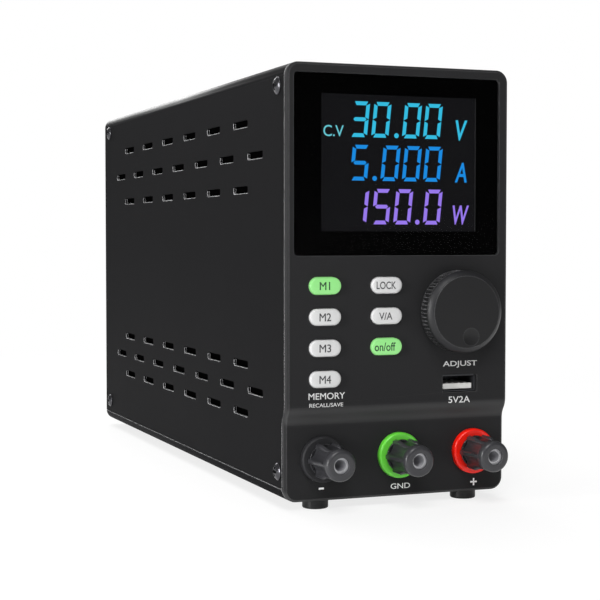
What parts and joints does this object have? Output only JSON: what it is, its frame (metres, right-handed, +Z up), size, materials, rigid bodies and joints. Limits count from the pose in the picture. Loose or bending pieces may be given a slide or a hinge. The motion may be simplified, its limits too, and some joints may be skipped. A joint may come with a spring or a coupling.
{
  "type": "laboratory power supply",
  "caption": "Narrow upright bench DC power supply with a colour display, pill buttons, adjusting knob, charging socket and binding posts.",
  "frame": {"origin": "on the surface that the feet stand on, below the middle of the whole object's box", "axes": "-Y is the front with the display and terminals, +X is to the right seen from the front, +Z is up"},
  "size_m": [0.0862, 0.2712, 0.151],
  "materials": {
    "aluminium": "plain aluminium",
    "black_plastic": "black moulding",
    "board": "green solder mask",
    "brass": "plain brass",
    "button_lit": "translucent key lit green from behind",
    "button_white": "satin white silicone-faced key",
    "can_sleeve": "dark sleeve",
    "cap_smoke": "smoke-black insulating cap",
    "case_paint": "fine matte black powder coat",
    "collar_black": "black insulator",
    "collar_green": "green insulator",
    "collar_red": "red insulator",
    "copper": "enamelled copper wire",
    "ferrite": "ground ferrite",
    "foot_rubber": "satin black rubber",
    "knob_plastic": "satin black moulding",
    "lcd": "dark liquid-crystal glass",
    "nickel": "nickel plate",
    "panel_paint": "matte black moulding, very fine texture",
    "ribbon": "grey ribbon cable",
    "screw_black": "black zinc",
    "screw_bright": "bright zinc",
    "sheet_steel": "tin-plated steel",
    "white_moulding": "white moulding",
    "winding": "polyester winding tape",
    "window_gloss": "gloss black acrylic",
    "wire_blue": "vinyl wire cover",
    "wire_red": "vinyl wire cover"
  },
  "bodies": {
    "root": {"base_tray": "case_paint", "cover": "case_paint", "rear_panel": "case_paint", "cover_screws": "screw_black", "feet": "foot_rubber", "foot_screws": "screw_bright", "front_panel": "panel_paint", "display_window": "window_gloss", "lcd_panel": "lcd", "backlight_frame": "white_moulding", "control_board": "board", "key_switches": "black_plastic", "encoder_body": "sheet_steel", "usb_socket": "sheet_steel", "usb_tongue": "white_moulding", "collar_minus": "collar_black", "collar_ground": "collar_green", "collar_plus": "collar_red", "post_minus": "nickel", "post_ground": "nickel", "post_plus": "nickel", "terminal_nuts": "nickel", "fan_frame": "black_plastic", "rear_panel_screws": "screw_black", "power_inlet": "black_plastic", "inlet_pins": "nickel", "switch_housing": "black_plastic", "main_board": "board", "board_pillars": "brass", "board_screws": "screw_bright", "transformer_core": "ferrite", "transformer_winding": "winding", "bulk_capacitors": "can_sleeve", "output_capacitors": "can_sleeve", "input_heatsink": "aluminium", "output_heatsink": "aluminium", "power_transistors": "black_plastic", "output_choke": "copper", "mains_choke": "copper", "output_leads": "wire_red", "mains_leads": "wire_blue", "ribbon_cable": "ribbon"},
    "button_m1": {"button_m1": "button_lit"},
    "button_m2": {"button_m2": "button_white"},
    "button_m3": {"button_m3": "button_white"},
    "button_m4": {"button_m4": "button_white"},
    "button_lock": {"button_lock": "button_white"},
    "button_va": {"button_va": "button_white"},
    "button_on_off": {"button_on_off": "button_lit"},
    "encoder_push": {"encoder_plunger": "white_moulding"},
    "knob": {"encoder_shaft": "nickel", "adjust_knob": "knob_plastic"},
    "washer_minus": {"washer_minus": "nickel"},
    "cap_minus": {"cap_minus": "cap_smoke"},
    "washer_ground": {"washer_ground": "nickel"},
    "cap_ground": {"cap_ground": "cap_smoke"},
    "washer_plus": {"washer_plus": "nickel"},
    "cap_plus": {"cap_plus": "cap_smoke"},
    "fan_rotor": {"fan_rotor": "black_plastic"},
    "switch_rocker": {"switch_rocker": "black_plastic"}
  },
  "joints": [
    {"name": "button_m1_press", "type": "slide", "parent": "root", "child": "button_m1", "axis": [0, 1, 0], "range_m": [0, 0.0005], "stiffness_N_per_m": 300, "springref_m": -0.0008},
    {"name": "button_m2_press", "type": "slide", "parent": "root", "child": "button_m2", "axis": [0, 1, 0], "range_m": [0, 0.0005], "stiffness_N_per_m": 300, "springref_m": -0.0008},
    {"name": "button_m3_press", "type": "slide", "parent": "root", "child": "button_m3", "axis": [0, 1, 0], "range_m": [0, 0.0005], "stiffness_N_per_m": 300, "springref_m": -0.0008},
    {"name": "button_m4_press", "type": "slide", "parent": "root", "child": "button_m4", "axis": [0, 1, 0], "range_m": [0, 0.0005], "stiffness_N_per_m": 300, "springref_m": -0.0008},
    {"name": "button_lock_press", "type": "slide", "parent": "root", "child": "button_lock", "axis": [0, 1, 0], "range_m": [0, 0.0005], "stiffness_N_per_m": 300, "springref_m": -0.0008},
    {"name": "button_va_press", "type": "slide", "parent": "root", "child": "button_va", "axis": [0, 1, 0], "range_m": [0, 0.0005], "stiffness_N_per_m": 300, "springref_m": -0.0008},
    {"name": "button_on_off_press", "type": "slide", "parent": "root", "child": "button_on_off", "axis": [0, 1, 0], "range_m": [0, 0.0005], "stiffness_N_per_m": 300, "springref_m": -0.0008},
    {"name": "knob_press", "type": "slide", "parent": "root", "child": "encoder_push", "axis": [0, 1, 0], "range_m": [0, 0.0005], "stiffness_N_per_m": 900, "springref_m": -0.001},
    {"name": "knob_turn", "type": "hinge", "parent": "encoder_push", "child": "knob", "pos_m": [0.0216, -0.12045, 0.0669], "axis": [0, -1, 0], "continuous": true},
    {"name": "cap_minus_travel", "type": "slide", "parent": "root", "child": "washer_minus", "axis": [0, -1, 0], "range_m": [0, 0.006]},
    {"name": "cap_minus_turn", "type": "hinge", "parent": "washer_minus", "child": "cap_minus", "pos_m": [-0.0279, -0.12795, 0.0174], "axis": [0, -1, 0], "range_deg": [0, 2881]},
    {"name": "cap_ground_travel", "type": "slide", "parent": "root", "child": "washer_ground", "axis": [0, -1, 0], "range_m": [0, 0.006]},
    {"name": "cap_ground_turn", "type": "hinge", "parent": "washer_ground", "child": "cap_ground", "pos_m": [0.0006, -0.12795, 0.0174], "axis": [0, -1, 0], "range_deg": [0, 2881]},
    {"name": "cap_plus_travel", "type": "slide", "parent": "root", "child": "washer_plus", "axis": [0, -1, 0], "range_m": [0, 0.006]},
    {"name": "cap_plus_turn", "type": "hinge", "parent": "washer_plus", "child": "cap_plus", "pos_m": [0.0291, -0.12795, 0.0174], "axis": [0, -1, 0], "range_deg": [0, 2881]},
    {"name": "fan_spin", "type": "hinge", "parent": "root", "child": "fan_rotor", "pos_m": [0, 0.12205, 0.109], "axis": [0, 1, 0], "continuous": true},
    {"name": "switch_rock", "type": "hinge", "parent": "root", "child": "switch_rocker", "pos_m": [0.027, 0.12805, 0.033], "axis": [1, 0, 0], "range_deg": [-20, 0]}
  ],
  "couplings": [
    {"joint": "cap_minus_turn", "follows": "cap_minus_travel", "rad_per_m": 8377.6},
    {"joint": "cap_ground_turn", "follows": "cap_ground_travel", "rad_per_m": 8377.6},
    {"joint": "cap_plus_turn", "follows": "cap_plus_travel", "rad_per_m": 8377.6}
  ]
}
